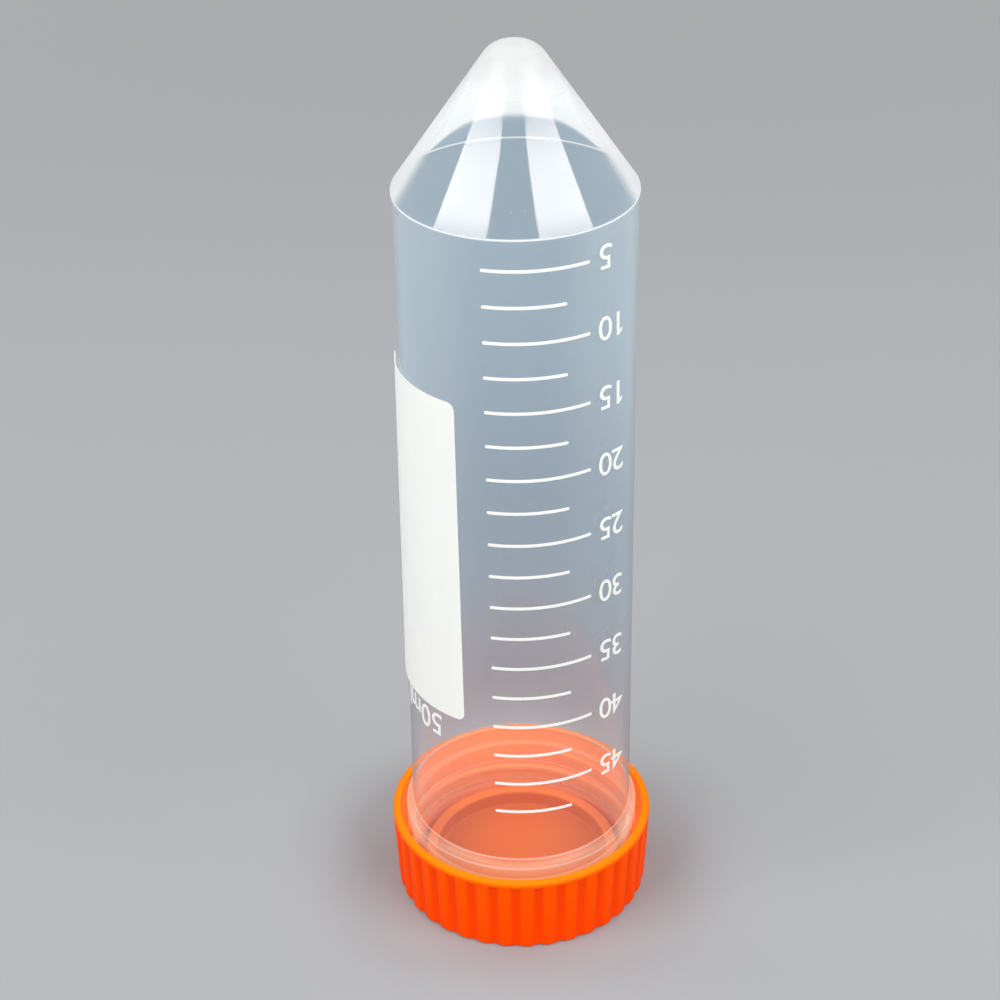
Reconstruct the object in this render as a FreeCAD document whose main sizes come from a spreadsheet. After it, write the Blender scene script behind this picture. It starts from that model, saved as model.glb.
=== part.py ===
import FreeCAD, Part
import Sketcher
import math
import os

# A 50 ml conical tube standing on its screw cap, cone upwards.
# Millimetres.  The origin is the centre of the cap's flat closed end, +Z runs up the
# tube's axis.  Two mouldings: the tube (cone, shoulder bead, body, collar, threaded
# neck) and the screw cap (ribbed skirt, closed end, plug ring, inside thread).

SIZES = {
    # screw cap, outside
    "cap_height": 11.2,
    "skirt_wall": 1.05,
    "rim_wall": 1.1,
    "cap_end_rounding": 0.4,
    "cap_rim_rounding": 0.5,
    "rib_count": 36,
    "flute_depth": 0.3,
    "flute_radius": 1.3,
    "plain_rim_height": 0.8,
    # screw cap, inside
    "floor_thickness": 1.3,
    "mouth_clearance": 0.85,
    "mouth_step_clearance": 0.9,
    "mouth_rounding": 0.2,
    "plug_height": 2.3,
    "plug_wall": 1.6,
    "plug_rounding": 0.4,
    "plug_clearance": 0.5,
    # thread of the neck and of the cap
    "thread_pitch": 3.0,
    "thread_root": 1.4,
    "thread_crest": 0.6,
    "thread_margin": 1.2,
    "thread_bite": 0.15,
    "thread_clearance": 0.3,
    "neck_thread_height": 0.6,
    "cap_thread_height": 0.45,
    # tube, neck and collar
    "tube_wall": 0.95,
    "neck_height": 8.4,
    "neck_step": 0.2,
    "lip_rounding": 0.2,
    "collar_proud": 0.85,
    "collar_height": 3.4,
    "collar_slope": 0.7,
    "collar_rounding": 0.8,
    "collar_foot_rounding": 0.3,
    # tube, body and cone
    "body_neck_radius": 14.45,
    "body_shoulder_radius": 14.2,
    "body_length": 99.1,
    "bead_proud": 0.2,
    "bead_height": 0.5,
    "bead_rounding": 0.2,
    "cone_height": 17.4,
    "cone_wall": 1.15,
    "shoulder_rounding": 2.0,
    "tip_radius": 2.6,
    "tip_rounding": 3.0,
    "tip_wall": 1.6,
    "bore_tip_rounding": 2.0,
}

# Places that both mouldings share.  The tube's lip rests on the cap's floor.
FLOOR = "Sizes.floor_thickness"
BORE_AT_NECK = "Sizes.body_neck_radius - Sizes.tube_wall"
NECK_RADIUS = "Sizes.body_neck_radius - Sizes.neck_step"
NECK_CREST = f"{NECK_RADIUS} + Sizes.neck_thread_height"
COLLAR_FOOT = f"{FLOOR} + Sizes.neck_height"
COLLAR_TOP = f"{COLLAR_FOOT} + Sizes.collar_height"
COLLAR_RADIUS = "Sizes.body_neck_radius + Sizes.collar_proud"

# The cap's bore is clear of the neck's ridge, and its mouth is clear of the collar.
CAP_THREAD_CREST = f"{NECK_CREST} + Sizes.thread_clearance"
THREAD_WALL = f"{CAP_THREAD_CREST} + Sizes.cap_thread_height"
MOUTH_RADIUS = f"{COLLAR_RADIUS} + Sizes.mouth_clearance"
MOUTH_FOOT = f"{COLLAR_FOOT} - Sizes.mouth_step_clearance"
CAP_END_RADIUS = f"{THREAD_WALL} + Sizes.skirt_wall"
CAP_RIM_RADIUS = f"{MOUTH_RADIUS} + Sizes.rim_wall"

FULL_TURN = 360
FLUTE_RUN_OUT = 0.5  # how far a flute's cutter starts below the closed end
SKETCH_AXIS_ACROSS = -1
SKETCH_AXIS_UP = -2


def make_sheet(doc):
    """The driving sizes, one named cell each."""
    sheet = doc.addObject("Spreadsheet::Sheet", "Sizes")
    for row, (name, value) in enumerate(SIZES.items(), start=1):
        sheet.set(f"A{row}", name)
        sheet.set(f"B{row}", str(value))
        sheet.setAlias(f"B{row}", name)
    doc.recompute()
    return sheet


def value_of(sheet, expression):
    return float(sheet.evalExpression(expression))


def origin_feature(body, role):
    return next(part for part in body.Origin.OriginFeatures if part.Role == role)


def make_body(doc, name):
    body = doc.addObject("PartDesign::Body", name)
    body.Label = name
    body.Placement = FreeCAD.Placement()
    return body


def new_sketch(body, name, role):
    sketch = body.newObject("Sketcher::SketchObject", name)
    sketch.AttachmentSupport = [(origin_feature(body, role), "")]
    sketch.MapMode = "FlatFace"
    return sketch


def bind(sketch, constraint, name, expression):
    """Add a named sketch constraint and tie its value to the sheet."""
    index = sketch.addConstraint(constraint)
    sketch.renameConstraint(index, name)
    sketch.setExpression(f"Constraints.{name}", expression)


def bind_point(sketch, geometry, position, label, across, up):
    """Hold one point of a sketch at two distances from the origin, by expression."""
    rules = (("DistanceX", across, SKETCH_AXIS_UP), ("DistanceY", up, SKETCH_AXIS_ACROSS))
    for kind, expression, axis in rules:
        if expression == "0":
            sketch.addConstraint(Sketcher.Constraint("PointOnObject", geometry, position, axis))
        else:
            distance = value_of(sketch.Document.Sizes, expression)
            constraint = Sketcher.Constraint(kind, -1, 1, geometry, position, distance)
            bind(sketch, constraint, f"{label}_{kind}", expression)


def rounded_corner(before, corner, after, radius):
    """Centre and two tangent points of an arc that rounds a corner."""
    to_before = (before - corner).normalize()
    to_after = (after - corner).normalize()
    half_angle = to_before.getAngle(to_after) / 2
    reach = radius / math.tan(half_angle)
    bisector = (to_before + to_after).normalize()
    centre = corner + bisector * (radius / math.sin(half_angle))
    return centre, corner + to_before * reach, corner + to_after * reach


def add_rounding(sketch, before, after, arc, label, rounding):
    """A tangent arc between two lines, its radius tied to the sheet."""
    centre, first_point, second_point, radius = arc
    first, second = (math.atan2(p.y - centre.y, p.x - centre.x) for p in (first_point, second_point))
    turns_left = (second - first) % math.tau < math.pi
    low, high = (first, second) if turns_left else (second, first)
    circle = Part.Circle(centre, FreeCAD.Vector(0, 0, 1), radius)
    curve = sketch.addGeometry(Part.ArcOfCircle(circle, low, high), False)
    at_before, at_after = (1, 2) if turns_left else (2, 1)
    sketch.addConstraint(Sketcher.Constraint("Tangent", before, 2, curve, at_before))
    sketch.addConstraint(Sketcher.Constraint("Tangent", after, 1, curve, at_after))
    bind(sketch, Sketcher.Constraint("Radius", curve, radius), f"{label}_rounding", rounding)


def draw_profile(sketch, corners):
    """A closed outline of straight runs, some corners rounded, all tied to the sheet.

    Each corner is (label, distance from the axis, height, rounding or None)."""
    sheet = sketch.Document.Sizes
    points = [FreeCAD.Vector(value_of(sheet, across), value_of(sheet, up), 0) for _, across, up, _ in corners]
    count = len(corners)
    starts, ends, arcs = list(points), list(points), {}
    for i, (_, _, _, rounding) in enumerate(corners):
        if rounding is not None:
            radius = value_of(sheet, rounding)
            centre, ends[i], starts[i] = rounded_corner(
                points[i - 1], points[i], points[(i + 1) % count], radius)
            arcs[i] = (centre, ends[i], starts[i], radius)
    runs = [Part.LineSegment(starts[i], ends[(i + 1) % count]) for i in range(count)]
    lines = [sketch.addGeometry(run, False) for run in runs]
    for i, (label, across, up, rounding) in enumerate(corners):
        before, after = lines[i - 1], lines[i]
        if rounding is None:
            sketch.addConstraint(Sketcher.Constraint("Coincident", before, 2, after, 1))
            bind_point(sketch, after, 1, label, across, up)
        else:
            add_rounding(sketch, before, after, arcs[i], label, rounding)
            mark = sketch.addGeometry(Part.Point(points[i]), True)
            bind_point(sketch, mark, 1, label, across, up)
            sketch.addConstraint(Sketcher.Constraint("PointOnObject", mark, 1, before))
            sketch.addConstraint(Sketcher.Constraint("PointOnObject", mark, 1, after))


def revolve(body, name, sketch):
    feature = body.newObject("PartDesign::Revolution", name)
    feature.Profile = sketch
    feature.ReferenceAxis = (sketch, ["V_Axis"])
    feature.Angle = FULL_TURN
    body.Document.recompute()


def add_thread(body, name, root_radius, crest_radius, low, high):
    """One right-handed helical ridge between two heights, its root bedded in the wall."""
    sketch = new_sketch(body, f"{name}_section", "XZ_Plane")
    half_root = "Sizes.thread_root / 2"
    half_crest = "Sizes.thread_crest / 2"
    draw_profile(sketch, [
        ("root_low", root_radius, f"{low} - {half_root}", None),
        ("crest_low", crest_radius, f"{low} - {half_crest}", None),
        ("crest_high", crest_radius, f"{low} + {half_crest}", None),
        ("root_high", root_radius, f"{low} + {half_root}", None),
    ])
    helix = body.newObject("PartDesign::AdditiveHelix", name)
    helix.Profile = sketch
    helix.ReferenceAxis = (sketch, ["V_Axis"])
    helix.Mode = "pitch-turns-angle"
    helix.setExpression("Pitch", "Sizes.thread_pitch")
    helix.setExpression("Turns", f"(({high}) - ({low})) / Sizes.thread_pitch")
    body.Tip = helix


def make_flutes(body):
    """The grooves between the skirt's ribs: one cutter that follows the draft, repeated."""
    draft = f"(({CAP_RIM_RADIUS}) - ({CAP_END_RADIUS})) / Sizes.cap_height"
    levels = {"low": f"{-FLUTE_RUN_OUT}", "high": "Sizes.cap_height - Sizes.plain_rim_height"}
    sections = []
    for level, height in levels.items():
        sketch = new_sketch(body, f"flute_section_{level}", "XY_Plane")
        sketch.setExpression("AttachmentOffset.Base.z", height)
        crest = f"{CAP_END_RADIUS} + {draft} * ({height})"
        middle = f"{crest} + Sizes.flute_radius - Sizes.flute_depth"
        centre = FreeCAD.Vector(value_of(body.Document.Sizes, middle), 0, 0)
        radius = value_of(body.Document.Sizes, "Sizes.flute_radius")
        circle = sketch.addGeometry(Part.Circle(centre, FreeCAD.Vector(0, 0, 1), radius), False)
        bind(sketch, Sketcher.Constraint("Radius", circle, radius), "radius", "Sizes.flute_radius")
        bind_point(sketch, circle, 3, "centre", middle, "0")
        sections.append(sketch)
    flute = body.newObject("PartDesign::SubtractiveLoft", "flute")
    flute.Profile, flute.Sections = sections[0], sections[1:]
    body.Document.recompute()
    pattern = body.newObject("PartDesign::PolarPattern", "flutes")
    pattern.Originals = [flute]
    pattern.Axis = (origin_feature(body, "Z_Axis"), [""])
    pattern.Angle = FULL_TURN
    pattern.setExpression("Occurrences", "Sizes.rib_count")
    body.Tip = pattern
    body.Document.recompute()


def make_screw_cap(doc):
    """Ribbed skirt, plain rim, closed end, plug ring and inside thread, in one moulding."""
    body = make_body(doc, "screw_cap")
    plug_outside = f"{BORE_AT_NECK} - Sizes.plug_clearance"
    plug_inside = f"{plug_outside} - Sizes.plug_wall"
    plug_top = f"{FLOOR} + Sizes.plug_height"
    sketch = new_sketch(body, "cap_section", "XZ_Plane")
    draw_profile(sketch, [
        ("end_centre", "0", "0", None),
        ("end_edge", CAP_END_RADIUS, "0", "Sizes.cap_end_rounding"),
        ("rim_outside", CAP_RIM_RADIUS, "Sizes.cap_height", "Sizes.cap_rim_rounding"),
        ("rim_inside", MOUTH_RADIUS, "Sizes.cap_height", "Sizes.mouth_rounding"),
        ("mouth_foot", MOUTH_RADIUS, MOUTH_FOOT, None),
        ("thread_wall_top", THREAD_WALL, MOUTH_FOOT, None),
        ("thread_wall_foot", THREAD_WALL, FLOOR, None),
        ("plug_outside_foot", plug_outside, FLOOR, None),
        ("plug_outside_top", plug_outside, plug_top, "Sizes.plug_rounding"),
        ("plug_inside_top", plug_inside, plug_top, "Sizes.plug_rounding"),
        ("plug_inside_foot", plug_inside, FLOOR, "Sizes.plug_rounding"),
        ("floor_centre", "0", FLOOR, None),
    ])
    revolve(body, "cap_shell", sketch)
    make_flutes(body)
    # Half a pitch above the neck's ridge, so that the two ridges lie between each other.
    low = f"{FLOOR} + Sizes.thread_margin + Sizes.thread_pitch / 2"
    high = f"{MOUTH_FOOT} - Sizes.thread_margin"
    add_thread(body, "cap_thread", f"{THREAD_WALL} + Sizes.thread_bite", CAP_THREAD_CREST, low, high)
    return body


def make_tube(doc):
    """Cone, shoulder bead, drafted body, collar and threaded neck, in one moulding."""
    body = make_body(doc, "tube")
    shoulder = f"{FLOOR} + Sizes.body_length"
    bead_top = f"{shoulder} + Sizes.bead_height"
    bead_radius = "(Sizes.body_shoulder_radius + Sizes.bead_proud)"
    tip = f"{bead_top} + Sizes.cone_height"
    bore_at_shoulder = "Sizes.body_shoulder_radius - Sizes.tube_wall"
    # The cone's inside runs parallel to its outside, cone_wall away.
    lean = f"(({bead_radius} - Sizes.tip_radius) / Sizes.cone_height)"
    wall_across = f"(Sizes.cone_wall * sqrt(1 + {lean} ^ 2))"
    bore_tip = f"{tip} - Sizes.tip_wall"
    bore_tip_radius = f"Sizes.tip_radius + Sizes.tip_wall * {lean} - {wall_across}"
    bore_cone_foot = f"{bead_top} - ({bore_at_shoulder} + {wall_across} - {bead_radius}) / {lean}"
    sketch = new_sketch(body, "tube_section", "XZ_Plane")
    draw_profile(sketch, [
        ("lip_inside", BORE_AT_NECK, FLOOR, "Sizes.lip_rounding"),
        ("lip_outside", NECK_RADIUS, FLOOR, "Sizes.lip_rounding"),
        ("neck_root", NECK_RADIUS, COLLAR_FOOT, None),
        ("collar_foot", COLLAR_RADIUS, COLLAR_FOOT, "Sizes.collar_foot_rounding"),
        ("collar_edge", COLLAR_RADIUS, f"{COLLAR_TOP} - Sizes.collar_slope", "Sizes.collar_rounding"),
        ("collar_root", "Sizes.body_neck_radius", COLLAR_TOP, None),
        ("bead_root", "Sizes.body_shoulder_radius", shoulder, None),
        ("bead_foot", bead_radius, shoulder, None),
        ("bead_top", bead_radius, bead_top, "Sizes.bead_rounding"),
        ("tip_edge", "Sizes.tip_radius", tip, "Sizes.tip_rounding"),
        ("tip_centre", "0", tip, None),
        ("bore_tip_centre", "0", bore_tip, None),
        ("bore_tip_edge", bore_tip_radius, bore_tip, "Sizes.bore_tip_rounding"),
        ("bore_shoulder", bore_at_shoulder, bore_cone_foot, "Sizes.shoulder_rounding"),
    ])
    revolve(body, "tube_shell", sketch)
    low = f"{FLOOR} + Sizes.thread_margin"
    high = f"{COLLAR_FOOT} - Sizes.thread_margin"
    add_thread(body, "neck_thread", f"{NECK_RADIUS} - Sizes.thread_bite", NECK_CREST, low, high)
    return body


def check_document(doc, bodies):
    for item in doc.Objects:
        broken = {"Invalid", "Error"} & set(item.State)
        if broken:
            raise RuntimeError(f"{item.Name} is {broken}")
    for body in bodies:
        shape = body.Shape
        if shape.isNull() or not shape.isValid() or len(shape.Solids) != 1:
            raise RuntimeError(f"{body.Label} is not one valid solid")
        print(f"{body.Label}: {shape.Volume:.1f} mm3")


def main():
    doc = FreeCAD.newDocument("conical_tube")
    make_sheet(doc)
    bodies = [make_screw_cap(doc), make_tube(doc)]
    doc.recompute()
    check_document(doc, bodies)
    os.makedirs("parts", exist_ok=True)
    for body in bodies:
        body.Shape.exportStep(f"parts/{body.Label}.step")


main()
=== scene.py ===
import math
from itertools import pairwise

import bmesh
import bpy
from bpy.props import (
    FloatProperty, FloatVectorProperty, IntProperty, PointerProperty, StringProperty,
)
from mathutils import Matrix, Vector


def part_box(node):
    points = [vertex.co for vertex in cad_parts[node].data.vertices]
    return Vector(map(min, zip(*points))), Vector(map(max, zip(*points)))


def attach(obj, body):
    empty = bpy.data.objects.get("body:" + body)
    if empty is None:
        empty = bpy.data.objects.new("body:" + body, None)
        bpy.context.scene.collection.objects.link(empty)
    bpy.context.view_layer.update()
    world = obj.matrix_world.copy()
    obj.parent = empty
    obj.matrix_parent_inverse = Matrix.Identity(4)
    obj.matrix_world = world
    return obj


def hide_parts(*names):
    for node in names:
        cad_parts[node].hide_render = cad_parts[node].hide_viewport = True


# A 50 ml conical tube that stands on its ribbed screw cap, cone upwards.  Metres, +Z up
# the tube's axis, the printed scale towards -Y.

bl_info = {
    "name": "Conical Tube Finish",
    "version": (1, 0, 0),
    "blender": (4, 5, 0),
    "location": "3D View > Sidebar > Conical Tube",
    "description": "Builds the clear tube, its ribbed cap, the printed scale and a studio",
    "category": "Add Mesh",
}

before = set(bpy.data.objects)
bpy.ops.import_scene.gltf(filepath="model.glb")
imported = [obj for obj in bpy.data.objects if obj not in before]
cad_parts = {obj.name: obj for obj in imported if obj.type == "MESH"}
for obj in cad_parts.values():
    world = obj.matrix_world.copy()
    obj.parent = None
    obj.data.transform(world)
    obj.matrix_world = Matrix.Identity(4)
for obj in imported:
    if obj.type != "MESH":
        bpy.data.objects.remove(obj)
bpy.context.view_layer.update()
CAP_LOW, CAP_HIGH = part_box("screw_cap")
TUBE_LOW, TUBE_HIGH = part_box("tube")

MM = 0.001
FRONT = -math.pi / 2
WELD = 1e-7
SMOOTH_BELOW = math.radians(32)
SECTION_SEGMENTS = 7
INK_SEGMENTS = 6


# ---------------------------------------------------------------- what a user would change

def length(name, millimetres, description):
    return FloatProperty(
        name=name, description=description, default=millimetres * MM, min=0.0,
        precision=5, unit="LENGTH", subtype="DISTANCE")


def amount(name, value, description):
    return FloatProperty(
        name=name, description=description, default=value, min=0.0, max=1.0, subtype="FACTOR")


def angle(name, degrees, description):
    return FloatProperty(
        name=name, description=description, default=math.radians(degrees),
        unit="ROTATION", subtype="ANGLE")


def colour(name, value, description):
    return FloatVectorProperty(
        name=name, description=description, default=value, size=3, min=0.0, max=1.0,
        subtype="COLOR")


class TubeSizes(bpy.types.PropertyGroup):
    """Sizes of the tube, from the lip inside the cap to the cone's tip."""
    lip_height: length("Lip height", TUBE_LOW.z / MM, "Where the lip rests on the cap's floor")
    tip_height: length("Tip height", TUBE_HIGH.z / MM, "Top of the cone above the ground")
    wall: length("Wall", 0.95, "Thickness of the straight body's wall")
    neck_height: length("Neck height", 8.4, "Threaded neck below the collar")
    neck_step: length("Neck step", 0.2, "How far the neck lies inside the body")
    lip_rounding: length("Lip rounding", 0.2, "Radius on the lip's edges")
    collar_radius: length("Collar radius", TUBE_HIGH.x / MM, "Outside of the collar")
    collar_height: length("Collar height", 3.4, "Collar from its foot to the body")
    collar_slope: length("Collar slope", 0.7, "Height over which the collar falls to the body")
    collar_rounding: length("Collar rounding", 0.8, "Radius on the collar's upper edge")
    collar_foot_rounding: length("Collar foot rounding", 0.3, "Radius on the lower edge")
    neck_end_radius: length("Body radius at the collar", 14.45, "Body's radius at the collar")
    shoulder_radius: length("Body radius at the shoulder", 14.2, "Body's radius at the bead")
    shoulder_height: length("Shoulder height", 100.4, "Where the straight body ends")
    bead_proud: length("Bead", 0.2, "How far the shoulder bead stands out")
    bead_height: length("Bead height", 0.5, "Height of the shoulder bead")
    bead_rounding: length("Bead rounding", 0.2, "Radius on the bead")
    cone_wall: length("Cone wall", 1.15, "Thickness of the cone's wall")
    shoulder_rounding: length("Inner shoulder rounding", 2.0, "Radius inside the shoulder")
    tip_radius: length("Tip radius", 2.6, "Half width of the blunt tip")
    tip_rounding: length("Tip rounding", 3.0, "Radius round the tip")
    tip_wall: length("Tip wall", 1.6, "Thickness of plastic at the tip")
    bore_tip_rounding: length("Bore tip rounding", 2.0, "Radius inside the tip")
    steps: IntProperty(name="Steps", description="Facets round the tube", default=240, min=48)


class CapSizes(bpy.types.PropertyGroup):
    """Sizes of the screw cap."""
    height: length("Height", CAP_HIGH.z / MM, "Closed end to rim")
    end_radius: length("End radius", 16.65, "Rib crests at the closed end")
    rim_radius: length("Rim radius", 17.25, "Outside of the plain rim")
    mouth_radius: length("Mouth radius", 16.15, "Inside of the rim")
    mouth_foot: length("Mouth foot", 8.8, "Where the mouth steps in to the thread")
    thread_wall: length("Thread wall", 15.6, "Inside radius behind the thread")
    floor: length("Floor", 1.3, "Thickness of the closed end")
    plug_outside: length("Plug outside", 13.0, "Outside radius of the plug ring")
    plug_inside: length("Plug inside", 11.4, "Inside radius of the plug ring")
    plug_top: length("Plug top", 3.6, "Top of the plug ring")
    plug_rounding: length("Plug rounding", 0.4, "Radius on the plug ring")
    end_rounding: length("End rounding", 0.4, "Radius round the closed end")
    rim_rounding: length("Rim rounding", 0.5, "Radius on the outside of the rim")
    mouth_rounding: length("Mouth rounding", 0.2, "Radius on the inside of the rim")
    plain_rim: length("Plain rim", 0.8, "Height of rim above the grooves")
    groove_depth: length("Groove depth", 0.3, "Depth between two ribs")
    groove_radius: length("Groove radius", 1.3, "Radius of a groove's hollow")
    groove_end: length("Groove end", 0.35, "Height in which a groove runs out below the rim")
    ribs: IntProperty(name="Ribs", description="Ribs round the skirt", default=36, min=8)
    steps_per_rib: IntProperty(
        name="Steps per rib", description="Facets across a rib and a groove", default=20, min=8)


class ThreadSizes(bpy.types.PropertyGroup):
    """Sizes of the screw thread that the neck and the cap share."""
    pitch: length("Pitch", 3.0, "Rise in one turn")
    root: length("Root width", 1.4, "Width where the ridge meets the wall")
    crest: length("Crest width", 0.6, "Width of the ridge's flat top")
    margin: length("Margin", 1.2, "Clear height at each end of a ridge")
    bite: length("Bite", 0.15, "How deep a ridge is bedded in its wall")
    neck_crest: length("Neck crest", 14.85, "Outside radius of the neck's ridge")
    cap_crest: length("Cap crest", 15.15, "Inside radius of the cap's ridge")
    steps: IntProperty(name="Steps", description="Facets in a turn", default=120, min=24)


class PrintSizes(bpy.types.PropertyGroup):
    """Sizes of the white print: scale lines, numerals, writing panel and capacity."""
    ink: length("Ink thickness", 0.035, "How thick the ink lies")
    gap: length("Ink gap", 0.008, "Clearance that keeps the ink off the wall")
    lines: IntProperty(name="Lines", description="Scale lines", default=18, min=2)
    first_line: length("First line", 96.94, "Height of the line for the least volume")
    spacing: length("Spacing", 4.52, "Distance between the first two lines")
    shrink: length("Spacing loss", 0.006, "How much closer each next line stands")
    line_start: length("Line start", 3.0, "Start of the lines left of the middle")
    long_line: length("Long line", 13.0, "Length of a numbered line")
    short_line: length("Short line", 10.0, "Length of a line between")
    line_width: length("Line width", 0.4, "Width of the printed lines")
    numeral_height: length("Numeral height", 3.0, "Height of the numerals")
    numeral_gap: length("Numeral gap", 0.95, "From a long line to its numeral")
    numeral_spacing: amount("Numeral spacing", 0.9, "Share of the font's own step")
    numeral_rise: length("Numeral rise", 0.2, "How far a numeral's middle lies above its line")
    flag_reach: length("Flag", 0.42, "How far the flag of a numeral 1 stands out from its bar")
    flag_width: length("Flag width", 0.5, "Width of that flag along the bar")
    flag_slope: amount("Flag slope", 0.8, "How steeply that flag leans towards the foot")
    first_number: IntProperty(name="First number", description="First number", default=5)
    number_step: IntProperty(name="Number step", description="Between numbers", default=5)
    panel_edge: length("Panel edge", 6.9, "Near edge of the panel left of the middle")
    panel_width: length("Panel width", 17.0, "Width of the writing panel round the body")
    panel_low: length("Panel low", 34.0, "Lower edge of the writing panel")
    panel_high: length("Panel high", 79.2, "Upper edge of the writing panel")
    panel_rounding: length("Panel rounding", 1.0, "Radius on the panel's corners")
    capacity: StringProperty(name="Capacity", description="Capacity mark", default="50ml")
    capacity_start: length("Capacity start", 10.4, "Start of the mark left of the middle")
    capacity_foot: length("Capacity foot", 33.1, "Height of the mark's foot line")
    capacity_height: length("Capacity figures", 3.2, "Height of the mark's figures")
    lean: amount("Lean", 0.011, "Sideways lean of the print per unit of height")
    slice: length("Slice", 0.4, "Width of the strips that let the flat ink bend")


class Finish(bpy.types.PropertyGroup):
    """Colours of the materials, and how much light they scatter or pass."""
    near_milk: colour("Near wall", (0.80, 0.84, 0.80), "Light that the near wall scatters")
    far_milk: colour("Far wall", (0.49, 0.68, 0.80), "Light that the far wall scatters")
    middle_milk: colour("Far wall half way", (0.33, 0.46, 0.57), "Far wall half way down")
    # Painted glow: the orange cap's light in the far wall's colour just above the cap.
    low_milk: colour("Far wall low", (0.47, 0.30, 0.29), "Far wall just above the cap")
    # Partly the neck's own milk, partly painted glow of the orange cap in its warm colour.
    neck_milk: colour("Neck and collar", (0.95, 0.75, 0.52), "Light that neck and collar scatter")
    # White of the painted glow on the cone's walls and of the painted highlight lines.
    cone_white: colour("Cone", (0.98, 0.98, 0.965), "White of the cone's slanting walls")
    tip_white: colour("Tip", (0.72, 0.72, 0.71), "White of the blunt tip")
    near_tint: colour("Near tint", (0.96, 0.98, 1.0), "Tint of what shows through the near wall")
    far_tint: colour("Far tint", (0.64, 0.74, 0.82), "Tint of what shows through the far wall")
    edge_tint: colour("Edge tint", (0.50, 0.55, 0.60), "Tint of the wall seen at a slant")
    near_share: amount("Near milk", 0.10, "Share of light that the near wall scatters")
    far_share: amount("Far milk", 0.36, "Share of light that the far wall scatters")
    low_share: amount("Low milk", 0.17, "Share of light that the neck's far wall scatters")
    collar_share: amount("Collar milk", 0.19, "Share of light that the collar adds")
    edge_share: amount("Edge milk", 0.2, "Share of light that a wall seen edge on adds")
    # Strength of the painted highlight lines on the collar.
    collar_line: amount("Collar lines", 0.45, "Strength of the light lines on the collar")
    cap_orange: colour("Cap", (1.0, 0.085, 0.0), "Orange of the skirt")
    # Painted shade in the grooves; the same redder orange also serves the closed end and the
    # cloudy variation.
    cap_groove: colour("Cap grooves", (1.0, 0.050, 0.0), "Redder orange between the ribs")
    # Painted light: a lighter orange on the cap's inside, which the skirt keeps in shade.
    cap_inside: colour("Cap inside", (0.98, 0.24, 0.05), "Orange of the cap's inside")
    # Painted shade: a darker orange on the floor inside the plug ring.
    cap_floor: colour("Cap floor", (0.60, 0.115, 0.024), "Orange of the floor inside the cap")
    # Painted light: a lighter orange all round the rim band.
    cap_rim: colour("Cap rim", (0.96, 0.19, 0.004), "Lighter orange where the wall is thin")
    ink: colour("Ink", (0.96, 0.96, 0.925), "White ink")
    ink_passing: amount("Light through ink", 0.3, "Share of light that passes the ink")
    ground: colour("Ground", (0.31, 0.315, 0.325), "Floor")
    backdrop: colour("Backdrop", (0.46, 0.47, 0.485), "What stands round the studio")


class Studio(bpy.types.PropertyGroup):
    """Camera, lamps and ground."""
    camera_distance: length("Camera distance", 251.95, "From the tube's axis, level")
    camera_height: length("Camera height", 213.68, "Above the ground")
    camera_turn: angle("Camera turn", 2.8, "Turn of the camera round the tube from -Y")
    camera_tilt: angle("Camera tilt", 31.61, "How far the camera looks down")
    camera_swing: angle("Camera swing", -0.516, "Swing of its sight line past the axis")
    camera_roll: angle("Camera roll", -0.825, "Roll round its sight line")
    focal_length: FloatProperty(
        name="Focal length", description="On a sensor 36 mm wide", default=85.86, unit="CAMERA")
    ground_size: length("Ground size", 4000.0, "Width of the floor")
    ground_near: length("Even floor from", 200.0, "Where the floor starts to look even")
    ground_far: length("Even floor at", 600.0, "Where the floor has the backdrop's colour")
    lamp_target: length("Lamp target", 90.0, "Height on the axis that the soft boxes face")
    lamp_distance: length("Lamp distance", 700.0, "Soft boxes from that point")
    lamp_width: length("Lamp width", 560.0, "Width of a soft box")
    lamp_depth: length("Lamp height", 300.0, "Height of a soft box")
    lamp_turn: angle("Lamp turn", 53.8, "Each soft box from the front round the tube")
    lamp_rise: angle("Lamp rise", 39.0, "Height of the soft boxes above the horizon")
    lamp_power: FloatProperty(
        name="Lamp power", description="Each soft box", default=4.0, min=0.0, unit="POWER")
    back_turn: angle("Back lamp turn", 125.0, "Each back lamp from the front round the tube")
    back_rise: angle("Back lamp rise", 42.0, "Height of the back lamps above the horizon")
    back_power: FloatProperty(
        name="Back lamp power", description="Each back lamp", default=1.6, min=0.0, unit="POWER")
    fill_rise: angle("Fill rise", 8.0, "Height of the front fill above the horizon")
    fill_power: FloatProperty(
        name="Fill power", description="Low front fill", default=1.2, min=0.0, unit="POWER")


GROUPS = {
    "tube_sizes": TubeSizes, "cap_sizes": CapSizes, "thread_sizes": ThreadSizes,
    "print_sizes": PrintSizes, "tube_finish": Finish, "tube_studio": Studio,
}


# ---------------------------------------------------------------- modelling by hand

def leave_edit_mode():
    if bpy.context.object and bpy.context.object.mode != "OBJECT":
        bpy.ops.object.mode_set(mode="OBJECT")


def deselect():
    leave_edit_mode()
    bpy.ops.object.select_all(action="DESELECT")


def pick(*pieces):
    """Select these pieces alone, the last one active."""
    deselect()
    for piece in pieces:
        piece.select_set(True)
    bpy.context.view_layer.objects.active = pieces[-1]


def add(name, operator, **settings):
    """A new object at the origin, from one of Blender's add operators."""
    deselect()
    operator(location=(0, 0, 0), **settings)
    made = bpy.context.object
    made.name = made.data.name = name
    return made


def apply_modifier(piece, kind, **settings):
    """Give a piece a modifier with these settings and apply it."""
    pick(piece)
    modifier = piece.modifiers.new(kind, kind)
    for setting, value in settings.items():
        setattr(modifier, setting, value)
    bpy.ops.object.modifier_apply(modifier=modifier.name)


def edit(piece):
    pick(piece)
    bpy.ops.object.mode_set(mode="EDIT")
    bpy.ops.mesh.select_mode(type="VERT")


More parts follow.
